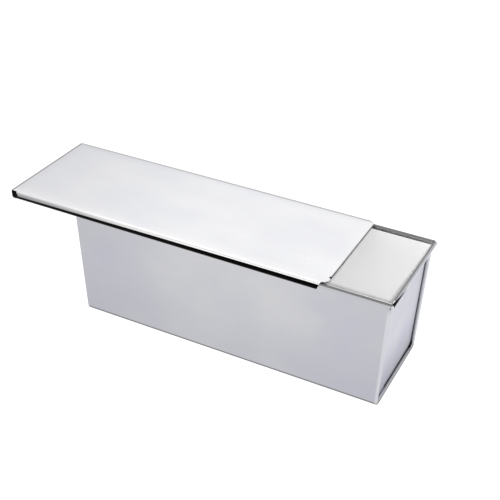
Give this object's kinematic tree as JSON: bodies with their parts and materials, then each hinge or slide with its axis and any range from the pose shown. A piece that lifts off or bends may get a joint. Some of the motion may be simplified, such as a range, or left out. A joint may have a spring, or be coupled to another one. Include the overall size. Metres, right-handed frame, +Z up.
{
  "type": "pullman loaf pan",
  "caption": "Long narrow loaf pan of folded sheet steel with hemmed corner seams, a wired rim and a flat lid that slides along the rim in folded channels.",
  "frame": {"origin": "centre of the pan's flat underside, on the surface it stands on", "axes": "+X along the length towards the end of the mouth that the lid leaves open, +Y to the back wall, +Z up"},
  "size_m": [0.3796, 0.114, 0.1169],
  "materials": {
    "pan_steel": "satin coated sheet steel",
    "lid_steel": "satin coated sheet steel, a little brighter than the pan",
    "wire_steel": "bright drawn wire"
  },
  "bodies": {
    "pan": {"body_wrapper": "pan_steel", "right_end_panel": "pan_steel", "left_end_panel": "pan_steel", "rim_wire": "wire_steel"},
    "lid": {"lid": "lid_steel"}
  },
  "joints": [
    {"name": "lid_slide", "type": "slide", "parent": "pan", "child": "lid", "axis": [1, 0, 0], "range_m": [-0.2551, 0.0654]}
  ]
}
